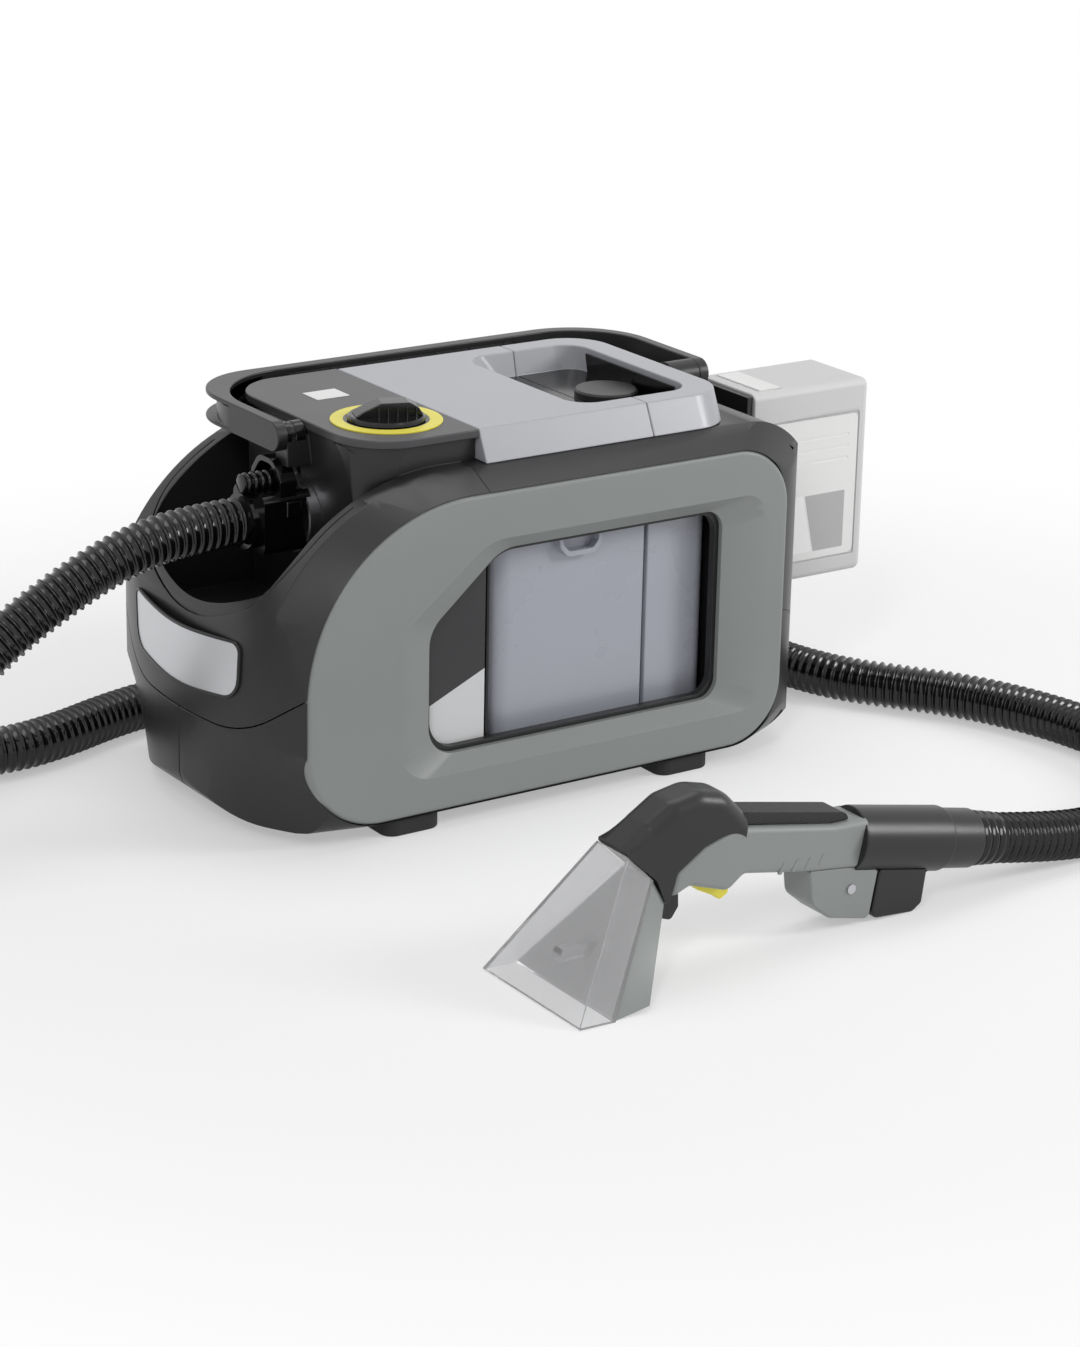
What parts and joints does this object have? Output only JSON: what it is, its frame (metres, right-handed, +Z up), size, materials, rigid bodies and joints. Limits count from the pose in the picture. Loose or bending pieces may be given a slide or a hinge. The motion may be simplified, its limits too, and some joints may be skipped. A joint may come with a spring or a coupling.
{
  "type": "spot extractor",
  "caption": "Battery-powered spot extractor: casing with side frames, lift-out container, folding handle, ribbed hose and spray hand tool.",
  "frame": {"origin": "on the floor, under the middle of the box round the machine and its hand tool, without the hose", "axes": "+X towards the battery at the rear, +Y away from the hand tool, +Z up"},
  "size_m": [1.3347, 0.8326, 0.3459],
  "materials": {
    "grey_plastic": "fine textured moulded plastic",
    "black_plastic": "satin textured moulded plastic",
    "black_gloss": "polished moulded plastic",
    "tank_plastic": "translucent grey plastic",
    "lid_plastic": "translucent grey plastic, satin",
    "pale_plastic": "pale grey moulded plastic",
    "yellow_plastic": "coloured moulded plastic",
    "clear_plastic": "clear plastic",
    "black_rubber": "soft rubber",
    "hose_plastic": "ribbed glossy flexible plastic",
    "plate_metal": "brushed",
    "label_film": "bare film",
    "steel": "plain",
    "board": "circuit board"
  },
  "bodies": {
    "root": {"near_side_frame": "grey_plastic", "far_side_frame": "grey_plastic", "window_bezels": "black_plastic", "side_label_plates": "label_film", "base_tub": "black_plastic", "front_hood": "black_plastic", "rear_deck": "black_plastic", "feet": "black_rubber", "nameplate": "plate_metal", "control_panel": "black_plastic", "dial_ring": "yellow_plastic", "selector_switch": "black_plastic", "control_board": "board", "handle_pins": "steel", "turbine_motor": "steel", "motor_bearings": "steel", "turbine_housing": "black_plastic", "air_duct": "black_plastic", "suction_duct": "black_plastic", "exhaust_duct": "black_plastic", "pump_body": "black_plastic", "water_line": "black_rubber", "hose_connector": "black_gloss", "spray_coupling": "black_gloss", "rear_dock": "black_plastic", "suction_hose": "hose_plastic", "tool_sleeve": "black_plastic", "hose_cuff": "black_plastic", "tool_shell": "grey_plastic", "tool_bracket": "grey_plastic", "tool_cleat": "black_plastic", "tool_elbow": "black_plastic", "tool_grip": "black_rubber", "nozzle_hood": "clear_plastic", "nozzle_back": "grey_plastic", "trigger_spring": "steel", "spray_valve": "black_plastic", "screws": "steel"},
    "handle": {"carry_handle": "black_plastic", "handle_grip": "black_rubber"},
    "knob": {"mode_knob": "black_gloss"},
    "container": {"waste_tank": "tank_plastic", "fresh_tank": "tank_plastic", "lid_seal": "black_rubber", "waste_inlet": "black_plastic", "fluff_filter": "black_plastic"},
    "front_lid_body": {"front_lid": "lid_plastic", "float_cage": "black_plastic"},
    "rear_lid_body": {"rear_lid": "lid_plastic", "tank_grip": "black_plastic"},
    "float": {"float_body": "pale_plastic"},
    "turbine": {"turbine_rotor": "black_plastic"},
    "pump": {"pump_rotor": "black_plastic"},
    "battery": {"battery_pack": "pale_plastic", "button_spring": "steel"},
    "battery_release": {"battery_button": "pale_plastic"},
    "hose_latch": {"connector_latch": "black_plastic"},
    "trigger": {"spray_trigger": "yellow_plastic"},
    "plunger": {"valve_plunger": "steel"},
    "nozzle_release": {"nozzle_latch": "black_plastic"}
  },
  "joints": [
    {"name": "handle_swing", "type": "hinge", "parent": "root", "child": "handle", "pos_m": [-0.0737, 0.181, 0.318], "axis": [1, 0, 0], "range_deg": [0, 90]},
    {"name": "knob_turn", "type": "hinge", "parent": "root", "child": "knob", "pos_m": [-0.1757, 0.143, 0.33], "axis": [0, 0, 1], "range_deg": [0, 135]},
    {"name": "tank_lift", "type": "slide", "parent": "root", "child": "container", "axis": [0, 0, 1], "range_m": [0, 0.5]},
    {"name": "front_lid_lift", "type": "slide", "parent": "container", "child": "front_lid_body", "axis": [0, 0, 1], "range_m": [0, 0.1]},
    {"name": "rear_lid_lift", "type": "slide", "parent": "container", "child": "rear_lid_body", "axis": [0, 0, 1], "range_m": [0, 0.08]},
    {"name": "float_rise", "type": "slide", "parent": "front_lid_body", "child": "float", "axis": [0, 0, 1], "range_m": [0, 0.025]},
    {"name": "turbine_spin", "type": "hinge", "parent": "root", "child": "turbine", "pos_m": [-0.1857, 0.24, 0.1], "axis": [0, 0, 1], "continuous": true},
    {"name": "pump_spin", "type": "hinge", "parent": "root", "child": "pump", "pos_m": [0.1443, 0.135, 0.04], "axis": [0, 0, 1], "continuous": true},
    {"name": "battery_slide", "type": "slide", "parent": "root", "child": "battery", "axis": [0, 0, 1], "range_m": [0, 0.19]},
    {"name": "battery_press", "type": "slide", "parent": "battery", "child": "battery_release", "axis": [0, 0, -1], "range_m": [0, 0.004], "stiffness_N_per_m": 600, "springref_m": -0.002},
    {"name": "latch_press", "type": "slide", "parent": "root", "child": "hose_latch", "axis": [0, 1, 0], "range_m": [0, 0.003], "stiffness_N_per_m": 600, "springref_m": -0.002},
    {"name": "trigger_pull", "type": "hinge", "parent": "root", "child": "trigger", "pos_m": [-0.1657, -0.285, 0.076], "axis": [0, -1, 0], "range_deg": [0, 10], "stiffness_Nm_per_rad": 0.5, "springref_deg": -5.73},
    {"name": "valve_push", "type": "slide", "parent": "root", "child": "plunger", "axis": [1, 0, 0], "range_m": [0, 0.003]},
    {"name": "nozzle_latch_press", "type": "slide", "parent": "root", "child": "nozzle_release", "axis": [-0.9285, 0, -0.3714], "range_m": [0, 0.003], "stiffness_N_per_m": 600, "springref_m": -0.002}
  ],
  "couplings": [
    {"joint": "valve_push", "follows": "trigger_pull", "m_per_rad": 0.017}
  ]
}
